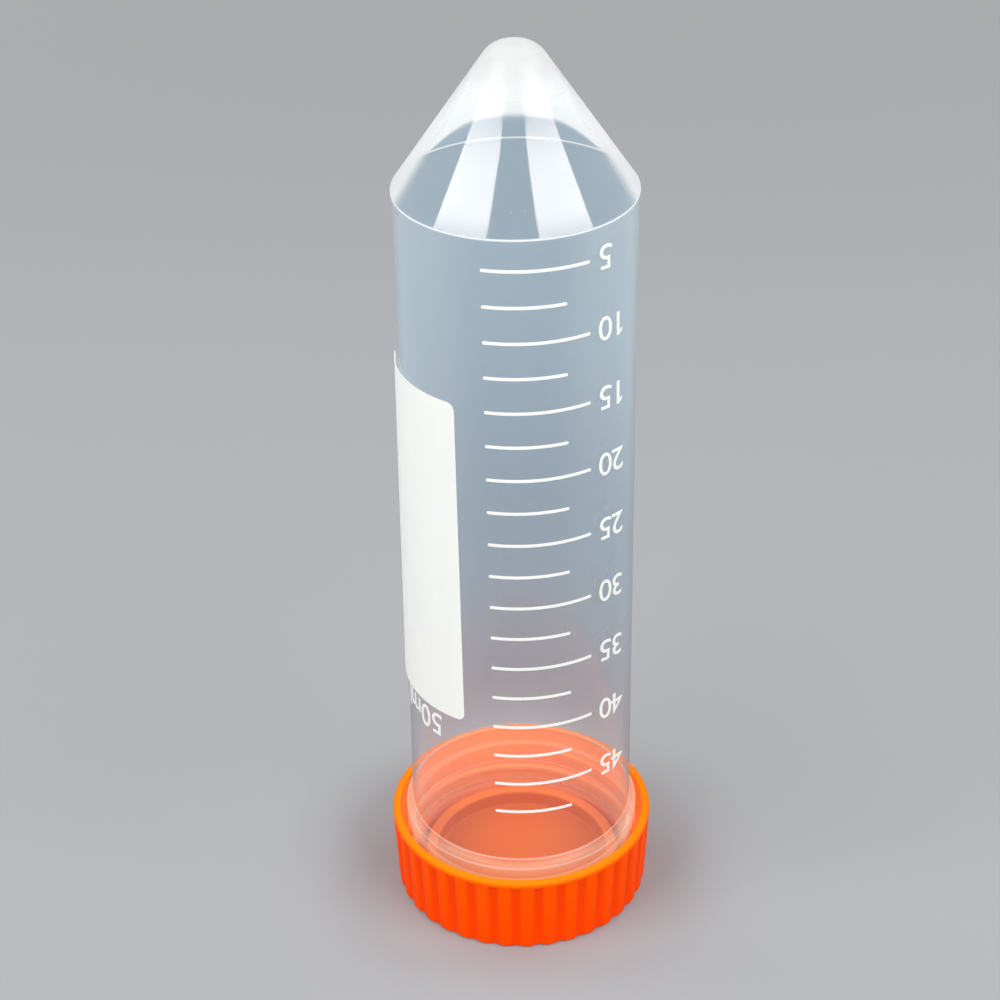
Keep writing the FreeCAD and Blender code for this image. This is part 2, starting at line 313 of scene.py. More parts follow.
def select_all():
    bpy.ops.mesh.select_all(action="SELECT")


def select_where(piece, test):
    """Select in edit mode the points whose place passes the test."""
    mesh = bmesh.from_edit_mesh(piece.data)
    for point in mesh.verts:
        point.select = bool(test(point.co))
    mesh.select_flush_mode()
    bmesh.update_edit_mesh(piece.data)


def start_chain(name, place):
    """A new piece in edit mode: one point, ready to be extruded."""
    piece = add(name, bpy.ops.mesh.primitive_plane_add, size=MM)
    edit(piece)
    select_all()
    bpy.ops.mesh.merge(type="CENTER")
    bpy.ops.transform.translate(value=place)
    return piece


def draw_chain(name, corners):
    """A chain of straight runs in the XZ plane, its corners rounded.

    Each corner is (distance from the axis, height, rounding)."""
    places = [Vector((across, 0.0, up)) for across, up, _ in corners]
    piece = start_chain(name, places[0])
    for here, there in pairwise(places):
        bpy.ops.mesh.extrude_vertices_move(TRANSFORM_OT_translate={"value": there - here})
    for before, corner, after, size in zip(places, places[1:], places[2:], corners[1:]):
        rounding = size[2]
        if rounding:
            half_angle = (before - corner).angle(after - corner) / 2
            select_where(piece, lambda at: (at - corner).length < WELD)
            bpy.ops.mesh.bevel(
                affect="VERTICES", offset_type="OFFSET", segments=SECTION_SEGMENTS,
                profile=0.5, offset=rounding / math.tan(half_angle), clamp_overlap=False)
    return piece


def weld_skin():
    """Merge doubled points and turn every face outwards."""
    select_all()
    bpy.ops.mesh.remove_doubles(threshold=WELD)
    bpy.ops.mesh.normals_make_consistent(inside=False)


def spin_solid(steps):
    """Turn the chain in edit mode, which starts and ends on the axis, into a closed solid."""
    select_all()
    bpy.ops.mesh.spin(
        steps=steps, angle=math.tau, center=(0, 0, 0), axis=(0, 0, 1), use_auto_merge=True)
    weld_skin()


def thread_ridge(name, root, crest, low, high, sizes):
    """A right-handed helical ridge between two heights, with closed ends."""
    half_root, half_crest = sizes.root / 2, sizes.crest / 2
    piece = draw_chain(name, [
        (root, low - half_root, 0), (crest, low - half_crest, 0),
        (crest, low + half_crest, 0), (root, low + half_root, 0),
    ])
    select_all()
    bpy.ops.mesh.edge_face_add()
    bpy.ops.mesh.delete(type="ONLY_FACE")
    turns = (high - low) / sizes.pitch
    steps = round(sizes.steps * turns)
    apply_modifier(
        piece, "SCREW", angle=math.tau * turns, screw_offset=high - low, steps=steps,
        render_steps=steps)
    edit(piece)
    bpy.ops.mesh.select_non_manifold()
    bpy.ops.mesh.fill_holes(sides=4)
    weld_skin()
    leave_edit_mode()
    return piece


def fuse(piece, other):
    """Union of two closed pieces; the second one is used up."""
    apply_modifier(piece, "BOOLEAN", operation="UNION", solver="EXACT", object=other)
    bpy.data.objects.remove(other)


def check_closed(piece):
    """Raise an error if a piece isn't one closed skin."""
    mesh = bmesh.new()
    mesh.from_mesh(piece.data)
    loose = sum(not edge.is_manifold for edge in mesh.edges)
    inside_out = mesh.calc_volume(signed=True) <= 0
    mesh.free()
    if loose or inside_out:
        raise RuntimeError(f"{piece.name}: {loose} open edges, inside out: {inside_out}")


def finish_piece(piece, body, material):
    """Check a piece, give it its material and let it ride on its body."""
    leave_edit_mode()
    check_closed(piece)
    pick(piece)
    bpy.ops.object.shade_smooth_by_angle(angle=SMOOTH_BELOW)
    piece.data.materials.clear()
    piece.data.materials.append(material)
    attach(piece, body)


# ---------------------------------------------------------------- the tube

# A face belongs to the bore where its normal leans to the axis by more than this share.
BORE_FACES_IN = 0.01


def collar_foot(tube):
    return tube.lip_height + tube.neck_height


def collar_top(tube):
    return collar_foot(tube) + tube.collar_height


def bead_top(tube):
    return tube.shoulder_height + tube.bead_height


def neck_radius(tube):
    return tube.neck_end_radius - tube.neck_step


def body_radius(tube, height):
    """Outside radius of the drafted body at a height."""
    along = (height - collar_top(tube)) / (tube.shoulder_height - collar_top(tube))
    return tube.neck_end_radius + along * (tube.shoulder_radius - tube.neck_end_radius)


def tube_corners(tube):
    """Half section of the tube, from the top of the tip down the outside and back."""
    bead_radius = tube.shoulder_radius + tube.bead_proud
    lean = (bead_radius - tube.tip_radius) / (tube.tip_height - bead_top(tube))
    wall_across = tube.cone_wall * math.hypot(1, lean)
    bore_tip = tube.tip_height - tube.tip_wall
    bore_tip_radius = tube.tip_radius + tube.tip_wall * lean - wall_across
    bore_shoulder = tube.shoulder_radius - tube.wall
    bore_cone_foot = bead_top(tube) - (bore_shoulder + wall_across - bead_radius) / lean
    bore_neck = tube.neck_end_radius - tube.wall
    return [
        (0, tube.tip_height, 0),
        (tube.tip_radius, tube.tip_height, tube.tip_rounding),
        (bead_radius, bead_top(tube), tube.bead_rounding),
        (bead_radius, tube.shoulder_height, 0),
        (tube.shoulder_radius, tube.shoulder_height, 0),
        (tube.neck_end_radius, collar_top(tube), 0),
        (tube.collar_radius, collar_top(tube) - tube.collar_slope, tube.collar_rounding),
        (tube.collar_radius, collar_foot(tube), tube.collar_foot_rounding),
        (neck_radius(tube), collar_foot(tube), 0),
        (neck_radius(tube), tube.lip_height, tube.lip_rounding),
        (bore_neck, tube.lip_height, tube.lip_rounding),
        (bore_shoulder, bore_cone_foot, tube.shoulder_rounding),
        (bore_tip_radius, bore_tip, tube.bore_tip_rounding),
        (0, bore_tip, 0),
    ]


def build_tube(tube, thread, finish):
    """Cone, bead, body, collar and threaded neck as one closed moulding."""
    shell = draw_chain("tube_moulding", tube_corners(tube))
    spin_solid(tube.steps)
    leave_edit_mode()
    ridge = thread_ridge(
        "neck_thread", neck_radius(tube) - thread.bite, thread.neck_crest,
        tube.lip_height + thread.margin, collar_foot(tube) - thread.margin, thread)
    fuse(shell, ridge)
    finish_piece(shell, "tube_body", tube_material(finish, tube))
    shell.data.materials.append(bore_material(tube))
    for face in shell.data.polygons:
        inward = -face.normal.xy.dot(face.center.xy) / tube.neck_end_radius
        under_tip = face.center.z > bead_top(tube) and face.normal.z < 0
        face.material_index = int(inward > BORE_FACES_IN or under_tip)
    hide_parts("tube")


# ---------------------------------------------------------------- the cap

# How far down its run-out a row of points lies, and the groove's share of full depth there.
GROOVE_ROWS = ((1.0, 1.0), (0.66, 0.78), (0.33, 0.3), (0.0, 0.0))
GROOVE_SOFTNESS = 0.03 * MM
LEAST_GROOVE = 0.004 * MM
# A little more than the whole rounding of the closed end, so that a groove takes it along.
ALL_ROUNDING = 1.01


def groove_row(cap, share):
    return cap.height - cap.plain_rim - cap.groove_end * share


def cap_corners(cap):
    """Half section of the cap, from the middle of its closed end round to its floor."""
    draft = (cap.rim_radius - cap.end_radius) / cap.height
    rows = [groove_row(cap, share) for share, _ in GROOVE_ROWS]
    return [
        (0, 0, 0),
        (cap.end_radius, 0, cap.end_rounding),
        *[(cap.end_radius + draft * height, height, 0) for height in rows],
        (cap.rim_radius, cap.height, cap.rim_rounding),
        (cap.mouth_radius, cap.height, cap.mouth_rounding),
        (cap.mouth_radius, cap.mouth_foot, 0),
        (cap.thread_wall, cap.mouth_foot, 0),
        (cap.thread_wall, cap.floor, 0),
        (cap.plug_outside, cap.floor, 0),
        (cap.plug_outside, cap.plug_top, cap.plug_rounding),
        (cap.plug_inside, cap.plug_top, cap.plug_rounding),
        (cap.plug_inside, cap.floor, cap.plug_rounding),
        (0, cap.floor, 0),
    ]


def groove_depth(cap, across):
    """Depth of a groove at a distance from its middle, its edges softened."""
    half_chord = cap.groove_radius ** 2 - across ** 2
    depth = cap.groove_depth - cap.groove_radius + math.sqrt(max(half_chord, 0.0))
    return (depth + math.hypot(depth, GROOVE_SOFTNESS)) / 2 - GROOVE_SOFTNESS / 12


def cut_grooves(piece, cap):
    """Push the skirt in between the ribs, one pair of point columns and one row at a time."""
    columns = cap.ribs * cap.steps_per_rib
    outside = cap.end_radius - ALL_ROUNDING * cap.end_rounding

    def in_groove(at, column, share):
        if math.hypot(at.x, at.y) < outside:
            return False
        turn = math.atan2(at.y, at.x) / math.tau * columns
        offset = round(turn) % cap.steps_per_rib
        if min(offset, cap.steps_per_rib - offset) != column:
            return False
        above = at.z - groove_row(cap, share)
        return above < WELD if share == 1.0 else abs(above) < WELD

    for column in range(cap.steps_per_rib // 2):
        depth = groove_depth(cap, column * math.tau * cap.end_radius / columns)
        if depth < LEAST_GROOVE:
            continue
        for share, weight in GROOVE_ROWS:
            if not weight:
                continue
            select_where(piece, lambda at: in_groove(at, column, share))
            factor = 1 - weight * depth / cap.rim_radius
            bpy.ops.transform.resize(value=(factor, factor, 1), center_override=(0, 0, 0))


def build_cap(cap, thread, finish):
    """Ribbed skirt, plain rim, closed end and plug ring, with the thread inside."""
    shell = draw_chain("cap_moulding", cap_corners(cap))
    spin_solid(cap.ribs * cap.steps_per_rib)
    cut_grooves(shell, cap)
    leave_edit_mode()
    ridge = thread_ridge(
        "cap_thread", cap.thread_wall + thread.bite, thread.cap_crest,
        cap.floor + thread.margin + thread.pitch / 2, cap.mouth_foot - thread.margin, thread)
    fuse(shell, ridge)
    finish_piece(shell, "cap", cap_material(finish, cap))
    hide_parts("screw_cap")


# ---------------------------------------------------------------- the print

FIGURE_STEPS = 8
# The flag is thinner than the figure it joins, so that no two of their faces coincide.
FLAG_THICKNESS = 0.8


def line_height(ink, index):
    """Height of a scale line; the spacing shrinks as the bore widens."""
    return ink.first_line - index * ink.spacing + index * (index - 1) / 2 * ink.shrink


def flat_bar(name, left, low, wide, high, thick, rounding):
    """A flat bar of ink that faces -Y, its outline's corners rounded."""
    bar = add(name, bpy.ops.mesh.primitive_cube_add, size=1)
    edit(bar)
    select_all()
    bpy.ops.transform.resize(value=(wide, thick, high), center_override=(0, 0, 0))
    bpy.ops.transform.translate(value=(left + wide / 2, -thick / 2, low + high / 2))
    bpy.ops.mesh.select_mode(type="EDGE")
    bpy.ops.mesh.select_all(action="DESELECT")
    mesh = bmesh.from_edit_mesh(bar.data)
    for edge in mesh.edges:
        run = edge.verts[0].co - edge.verts[1].co
        edge.select = abs(run.y) > 0.9 * run.length
    bmesh.update_edit_mesh(bar.data)
    bpy.ops.mesh.bevel(
        affect="EDGES", offset=rounding, segments=INK_SEGMENTS, profile=0.5,
        clamp_overlap=True)
    leave_edit_mode()
    return bar


def flat_words(name, words, height, align, thick, spacing=1.0):
    """Words of ink that face -Y and stand on their head, their foot line at height 0."""
    piece = add(name, bpy.ops.object.text_add)
    piece.data.body = words
    piece.data.align_x = align
    piece.data.space_character = spacing
    piece.data.extrude = thick / 2 / height
    piece.data.resolution_u = FIGURE_STEPS
    bpy.ops.object.convert(target="MESH")
    figures = max(corner[1] for corner in piece.bound_box)
    piece.scale = (height / figures,) * 3
    piece.rotation_euler = (math.pi / 2, math.pi, 0)
    piece.location = (0, -thick / 2, 0)
    bpy.ops.object.transform_apply(location=True, rotation=True, scale=True)
    edit(piece)
    weld_skin()
    leave_edit_mode()
    return piece


def flag_of_one(figures, ink):
    """The flag of a leading 1, which the built-in font draws as a bare bar."""
    side = max(point.co.x for point in figures.data.vertices)
    top = min(point.co.z for point in figures.data.vertices if side - point.co.x < WELD)
    rounding = ink.line_width / 8
    flag = flat_bar(
        "flag", side - rounding, top, ink.flag_reach + rounding, ink.flag_width,
        FLAG_THICKNESS * ink.ink, rounding)
    for point in flag.data.vertices:
        point.co.z += ink.flag_slope * (point.co.x - side)
    return flag


def move_mesh(piece, place):
    edit(piece)
    select_all()
    bpy.ops.transform.translate(value=place)
    leave_edit_mode()


def copy_to(piece, name, place):
    """A copy with its own mesh, moved in its mesh."""
    pick(piece)
    bpy.ops.object.duplicate(linked=False)
    other = bpy.context.object
    other.name = other.data.name = name
    move_mesh(other, place)
    return other


def joined(name, pieces):
    pick(*pieces)
    bpy.ops.object.join()
    whole = bpy.context.object
    whole.name = whole.data.name = name
    return whole


def wrap_ink(piece, ink, tube):
    """Lean the flat ink, slice it into strips and bend it round the drafted body."""
    middle = (ink.first_line + line_height(ink, ink.lines - 1)) / 2
    for point in piece.data.vertices:
        point.co.x -= ink.lean * (point.co.z - middle)
    low, high = (Vector(piece.bound_box[i]) for i in (0, 6))
    edit(piece)
    cuts = math.ceil((high.x - low.x) / ink.slice)
    for cut in range(1, cuts):
        select_all()
        across = low.x + (high.x - low.x) * cut / cuts
        bpy.ops.mesh.bisect(plane_co=(across, 0, 0), plane_no=(1, 0, 0), threshold=WELD)
    foot_radius = body_radius(tube, 0.0)
    apply_modifier(
        piece, "SIMPLE_DEFORM", deform_method="BEND", deform_axis="Z",
        angle=(high.x - low.x) / foot_radius)
    move_mesh(piece, (0, -foot_radius, 0))
    draft = body_radius(tube, high.z) - body_radius(tube, low.z)
    apply_modifier(
        piece, "SIMPLE_DEFORM", deform_method="TAPER", deform_axis="Z",
        factor=draft / foot_radius)


def print_number(ink, number, height):
    """One numeral, beyond the end of the long line at this height."""
    figures = flat_words(
        f"number_{number}", str(number), ink.numeral_height, "RIGHT", ink.ink,
        ink.numeral_spacing)
    if str(number).startswith("1"):
        figures = joined(figures.name, [figures, flag_of_one(figures, ink)])
    across = ink.long_line - ink.line_start + ink.numeral_gap
    move_mesh(figures, (across, 0, height + ink.numeral_rise + ink.numeral_height / 2))
    return figures


def print_scale(ink):
    """The long and short lines, and the numerals that stand on their head beside them."""
    patterns = [
        flat_bar(name, -ink.line_start, -ink.line_width / 2, run, ink.line_width, ink.ink,
                 ink.line_width / 3)
        for name, run in (("long_line", ink.long_line), ("short_line", ink.short_line))]
    lines, numerals = [], []
    for index in range(ink.lines):
        height = line_height(ink, index)
        lines.append(copy_to(patterns[index % 2], f"line_{index}", (0, 0, height)))
        if index % 2 == 0:
            number = ink.first_number + index // 2 * ink.number_step
            numerals.append(print_number(ink, number, height))
    for pattern in patterns:
        bpy.data.objects.remove(pattern)
    return joined("scale_lines", lines), joined("scale_numerals", numerals)


def print_panel(ink):
    """The white field to write on, with rounded corners."""
    return flat_bar(
        "writing_panel", -ink.panel_edge - ink.panel_width, ink.panel_low, ink.panel_width,
        ink.panel_high - ink.panel_low, ink.ink, ink.panel_rounding)


def print_capacity(ink):
    """The capacity, on its head below the panel."""
    mark = flat_words("capacity_mark", ink.capacity, ink.capacity_height, "LEFT", ink.ink)
    move_mesh(mark, (-ink.capacity_start, 0, ink.capacity_foot))
    return mark


def build_print(ink, tube, finish):
    """Scale, numerals, panel and capacity as thin ink that rides on the tube."""
    lines, numerals = print_scale(ink)
    material = ink_material(finish)
    for piece in (lines, numerals, print_panel(ink), print_capacity(ink)):
        move_mesh(piece, (0, -ink.gap, 0))
        wrap_ink(piece, ink, tube)
        finish_piece(piece, "tube_body", material)


# ---------------------------------------------------------------- shader helpers

CLEAR = (1.0, 1.0, 1.0, 1.0)
# Between these two values lies nearly all of a noise texture.
NOISE_RANGE = (0.3, 0.7)


def node(tree, kind, inputs=None, **settings):
    """A node with its settings, its input values and its incoming links."""
    made = tree.nodes.new(kind)
    for name, value in settings.items():
        setattr(made, name, value)
    for socket, value in (inputs or {}).items():
        if isinstance(value, bpy.types.NodeSocket):
            tree.links.new(value, made.inputs[socket])
        else:
            made.inputs[socket].default_value = value
    return made


def maths(tree, operation, *values, clamp=False):
    """A number worked out from others, each of them a socket or a plain number."""
    made = node(tree, "ShaderNodeMath", dict(enumerate(values)), operation=operation)
    made.use_clamp = clamp
    return made.outputs[0]


def product(tree, first, *others):
    for other in others:
        first = maths(tree, "MULTIPLY", first, other)
    return first


def fade(tree, value, low, high, to_low=0.0, to_high=1.0):
    """A smooth step from one number to another, as a value goes from low to high."""
    made = node(tree, "ShaderNodeMapRange", {
        "Value": value, "From Min": low, "From Max": high, "To Min": to_low, "To Max": to_high,
    }, interpolation_type="SMOOTHSTEP")
    return made.outputs["Result"]


def band(tree, value, low, high):
    """1 in the middle between two numbers, smoothly 0 at and beyond both."""
    middle = (low + high) / 2
    return product(tree, fade(tree, value, low, middle), fade(tree, value, high, middle))


def blend(tree, share, first, second):
    """Mix two colours by a share."""
    made = node(tree, "ShaderNodeMix", {0: share, 6: first, 7: second}, data_type="RGBA")
    return made.outputs[2]


def choose(tree, share, first, second):
    """Mix two numbers by a share."""
    made = node(tree, "ShaderNodeMix", {0: share, 2: first, 3: second}, data_type="FLOAT")
    return made.outputs[0]


def mix_shaders(tree, share, first, second):
    return node(tree, "ShaderNodeMixShader", {
        0: share, 1: first.outputs[0], 2: second.outputs[0]})


def opaque(shade):
    return (*shade, 1.0)


def place_on_object(tree):
    return node(tree, "ShaderNodeTexCoord").outputs["Object"]


def height_of(tree, place):
    return node(tree, "ShaderNodeSeparateXYZ", {0: place}).outputs["Z"]


def new_material(name):
    material = bpy.data.materials.new(name)
    material.use_nodes = True
    material.node_tree.nodes.clear()
    return material, material.node_tree


def show(tree, shader):
    node(tree, "ShaderNodeOutputMaterial", {"Surface": shader.outputs[0]})


# ---------------------------------------------------------------- shared node groups

def use_group(tree, name, output, work, values):
    """The result of a shared node group, which is built where it is first used."""
    if name not in bpy.data.node_groups:
        group = bpy.data.node_groups.new(name, "ShaderNodeTree")
        for label, value in values.items():
            socket = group.interface.new_socket(
                label, in_out="INPUT", socket_type="NodeSocketFloat")
            socket.default_value = value
        group.interface.new_socket(output, in_out="OUTPUT", socket_type="NodeSocketFloat")
        given = group.nodes.new("NodeGroupInput")
        node(group, "NodeGroupOutput", {output: work(group, given.outputs)})
    group = bpy.data.node_groups[name]
    return node(tree, "ShaderNodeGroup", values, node_tree=group).outputs[output]


def haze(tree, scale, low, high):
    """Slow cloudy variation, as in moulded plastic whose wall cooled unevenly."""
    def work(group, given):
        place = place_on_object(group)
        drawn_out = node(group, "ShaderNodeMapping", {"Vector": place, "Scale": (1, 1, 0.35)})
        cloud = node(group, "ShaderNodeTexNoise", {
            "Vector": drawn_out.outputs[0], "Scale": given["Scale"], "Detail": 3.0})
        spread = node(group, "ShaderNodeMapRange", {
            "Value": cloud.outputs["Fac"], "From Min": NOISE_RANGE[0],
            "From Max": NOISE_RANGE[1], "To Min": given["Low"], "To Max": given["High"]})
        return spread.outputs[0]

    values = {"Scale": scale, "Low": low, "High": high}
    return use_group(tree, "moulding_haze", "Amount", work, values)


def specks(tree, scale, size, share):
    """Sparse small round specks, such as dust in the plastic."""
    def work(group, given):
        place = place_on_object(group)
        cells = node(group, "ShaderNodeTexVoronoi", {
            "Vector": place, "Scale": given["Scale"], "Randomness": 1.0})
        near = maths(group, "LESS_THAN", cells.outputs["Distance"], given["Size"])
        draw = node(group, "ShaderNodeSeparateColor", {0: cells.outputs["Color"]})
        return product(group, near, maths(group, "LESS_THAN", draw.outputs[0], given["Share"]))

    values = {"Scale": scale, "Size": size, "Share": share}
    return use_group(tree, "small_specks", "Mask", work, values)


def scratches(tree, scale, threshold):
    """Fine straight handling scratches in two directions, sparse, as a height."""
    def work(group, given):
        place = place_on_object(group)
        strokes = []
        for lean in (0.5, -0.9):
            turned = node(group, "ShaderNodeMapping", {
                "Vector": place, "Rotation": (lean, lean / 2, 0), "Scale": (1, 1, 0.06)})
            cloud = node(group, "ShaderNodeTexNoise", {
                "Vector": turned.outputs[0], "Scale": given["Scale"], "Detail": 0.0})
            strokes.append(
                maths(group, "GREATER_THAN", cloud.outputs["Fac"], given["Threshold"]))
        return maths(group, "MAXIMUM", *strokes)

    values = {"Scale": scale, "Threshold": threshold}
    return use_group(tree, "fine_scratches", "Height", work, values)


# ---------------------------------------------------------------- the tube's material

CLOUD_GREY = (0.6, 0.6, 0.62, 1.0)
DUST = (0.35, 0.33, 0.30, 1.0)
SKIN_TINT = (1.0, 0.92, 0.86, 1.0)
LAMP_TINT = (0.90, 0.92, 0.94, 1.0)
CLOUD_SHARE = 0.1
DUST_SHARE = 0.3
MOST_WHITE = 0.95
MOST_SHINE = 0.3
BORE_SHINE = 0.07
# Shares of the body's height where the far wall has its upper, middle and low colour.
COLOUR_HEIGHTS = (0.8, 0.5, 0.2)
# Factors on the near wall's milk: low on the body and at the shoulder, square on and
# aslant, and on the cone. The rise from square on to aslant is partly the longer way
# through the wall, partly a painted reflection of the soft boxes.
NEAR_MILK = (0.6, 1.4)
SLANT_MILK_AND_REFLECTION = (0.6, 1.35)
CONE_MILK = 0.3
EDGE_POWER = 4.0
# Share of the milk's light that comes through from behind, and the neck's factor on it.
NEAR_GLOW, FAR_GLOW, NECK_GLOW = 0.5, 0.75, 0.2
# Factors on the skin's shine, and how rough it is.
BODY_SHINE, CONE_SHINE, BEAD_SHINE, TIP_SHINE = 0.8, 1.9, 0.7, 0.1
BODY_ROUGH, COLLAR_ROUGH, TIP_ROUGH = 0.07, 0.36, 0.22
# Foot and top of each painted highlight line, measured from the top of the bead or of the collar.
BEAD_HIGHLIGHT = (-0.35 * MM, 0.15 * MM)
COLLAR_ROOT_HIGHLIGHT = (-0.2 * MM, 0.3 * MM)
COLLAR_EDGE_HIGHLIGHT = (-1.5 * MM, -0.5 * MM)
# How a wall lies to the eye, from 0 square on to 1 edge on, where each look fades in.
MILKY_SLANT = (0.13, 0.33)
WHITE_SLANT = (0.46, 0.68)
OUTLINE_SLANT = (0.65, 1.0)
# The painted glow on the cone's far wall starts lower where it is seen more edge on.
STEEP_SLANT = 0.44
WHITE_DROP = 94 * MM


def wall_colours(tree, finish, tube, height, behind, cloud):
    """Colour of the milk: cool on the far wall, warmer low down and on the neck, where the warmth
    is painted glow of the orange cap.
    """
    upper, middle, low = (share * tube.shoulder_height for share in COLOUR_HEIGHTS)
    to_middle, to_low = fade(tree, height, upper, middle), fade(tree, height, middle, low)
    far = blend(tree, to_middle, opaque(finish.far_milk), opaque(finish.middle_milk))
    # Painted glow of the orange cap low on the far wall.
    far = blend(tree, to_low, far, opaque(finish.low_milk))
    milk = blend(tree, behind, opaque(finish.near_milk), far)
    # Painted glow of the orange cap in the warm milk of neck and collar.
    neck = fade(tree, height, collar_top(tube) + MM, collar_top(tube) - MM)
    milk = blend(tree, neck, milk, opaque(finish.neck_milk))
    return blend(tree, product(tree, cloud, CLOUD_SHARE), milk, CLOUD_GREY)


def wall_milk(tree, finish, tube, height, behind, slant):
    """Share of light that the wall scatters: more on its far side and on the collar."""
    root, shoulder = collar_top(tube), tube.shoulder_height
    far = fade(tree, height, root - 2 * MM, root + 6 * MM, finish.low_share, finish.far_share)
    thin, thick = (factor * finish.near_share for factor in NEAR_MILK)
    near = fade(tree, height, COLOUR_HEIGHTS[-1] * shoulder, shoulder, thin, thick)
    cone = fade(tree, height, shoulder, shoulder + MM, 1.0, CONE_MILK)
    # Aslant the milk rises: partly the longer way through the wall, partly painted reflection of
    # the soft boxes.
    near = product(tree, near, cone, fade(tree, slant, *MILKY_SLANT, *SLANT_MILK_AND_REFLECTION))
    collar = fade(tree, height, root + 0.2 * MM, root - 0.6 * MM)
    near = maths(tree, "ADD", near, product(tree, collar, finish.collar_share))
    edge = product(tree, maths(tree, "POWER", slant, EDGE_POWER), finish.edge_share)
    return maths(tree, "ADD", choose(tree, behind, near, far), edge)


def cone_whiteness(tree, tube, height, behind, slant):
    """Where the cone looks white: its far and side walls, which carry painted glow of light
    through the cone, its tip and the shoulder's bead.
    """
    shoulder, top = tube.shoulder_height, tube.tip_height
    steep = maths(tree, "MAXIMUM", maths(tree, "SUBTRACT", slant, STEEP_SLANT), 0.0)
    drop = product(tree, maths(tree, "POWER", steep, 2.0), WHITE_DROP)
    raised = maths(tree, "ADD", drop, height)
    far = fade(tree, raised, shoulder + 3.1 * MM, shoulder + 5.0 * MM)
    near = fade(tree, slant, *WHITE_SLANT)
    on_cone = fade(tree, height, shoulder, bead_top(tube))
    aslant = product(tree, choose(tree, behind, near, far), on_cone)
    tip = fade(tree, height, top - 7.0 * MM, top - 1.5 * MM)
    return maths(tree, "MAXIMUM", aslant, tip)


def light_lines(tree, finish, tube, height):
    """Painted highlights: white lines on the shoulder's bead, the collar's root and its edge."""
    def line(base, foot, top):
        return band(tree, height, base + foot, base + top)

    bead = line(bead_top(tube), *BEAD_HIGHLIGHT)
    collar = maths(
        tree, "MAXIMUM", line(collar_top(tube), *COLLAR_ROOT_HIGHLIGHT),
        line(collar_top(tube), *COLLAR_EDGE_HIGHLIGHT))
    return maths(tree, "MAXIMUM", bead, product(tree, collar, finish.collar_line))


def wall_tint(tree, finish, tube, height, behind, slant):
    """Tint of what shows through the wall, darkest at the outline."""
    root = collar_top(tube)
    deep = product(tree, behind, fade(tree, height, 10 * MM, 25 * MM))
    tint = blend(tree, deep, opaque(finish.near_tint), opaque(finish.far_tint))
    above_neck = fade(tree, height, root - MM, root + 2 * MM)
    outline = product(tree, fade(tree, slant, *OUTLINE_SLANT), above_neck)
    return blend(tree, outline, tint, opaque(finish.edge_tint))


def wall_shader(tree, tube, shade, height, behind):
    """Milk that shows its own colour and lets some light from behind pass."""
    scatter = node(tree, "ShaderNodeBsdfPrincipled", {
        "Base Color": shade, "Roughness": 0.6, "Specular IOR Level": 0.0})
    glow = node(tree, "ShaderNodeBsdfTranslucent", {"Color": shade})
    root = collar_top(tube)
    free = fade(tree, height, root - MM, root + MM, NECK_GLOW, 1.0)
    passing = product(tree, fade(tree, behind, 0.0, 1.0, NEAR_GLOW, FAR_GLOW), free)
    return mix_shaders(tree, passing, scatter, glow)


def skin_shine(tree, tube, height, behind, relief):
    """Strength of the outer skin's reflection: strongest on the cone, faint at its tip."""
    mirror = node(tree, "ShaderNodeFresnel", {"IOR": 1.5, "Normal": relief}).outputs[0]
    outward = maths(tree, "SUBTRACT", 1.0, behind)
    shoulder, tip, top = tube.shoulder_height, tube.tip_height, bead_top(tube)
    on_cone = fade(tree, height, shoulder - MM, shoulder, BODY_SHINE, CONE_SHINE)
    off_tip = fade(tree, height, tip - 12 * MM, tip, 1.0, TIP_SHINE)
    off_bead = fade(tree, height, top, top + 2 * MM, BEAD_SHINE, 1.0)
    shine = product(tree, mirror, outward, on_cone, off_tip, off_bead)
    return maths(tree, "MINIMUM", shine, MOST_SHINE)


def skin_roughness(tree, tube, height):
    """Polished body and cone, matter on the collar, the neck and the blunt tip."""
    root, tip = collar_top(tube), tube.tip_height
    rough = fade(tree, height, root - 0.5 * MM, root + MM, COLLAR_ROUGH, BODY_ROUGH)
    blunt = fade(tree, height, tip - 8 * MM, tip - 3 * MM, 0.0, TIP_ROUGH)
    return maths(tree, "ADD", rough, blunt)


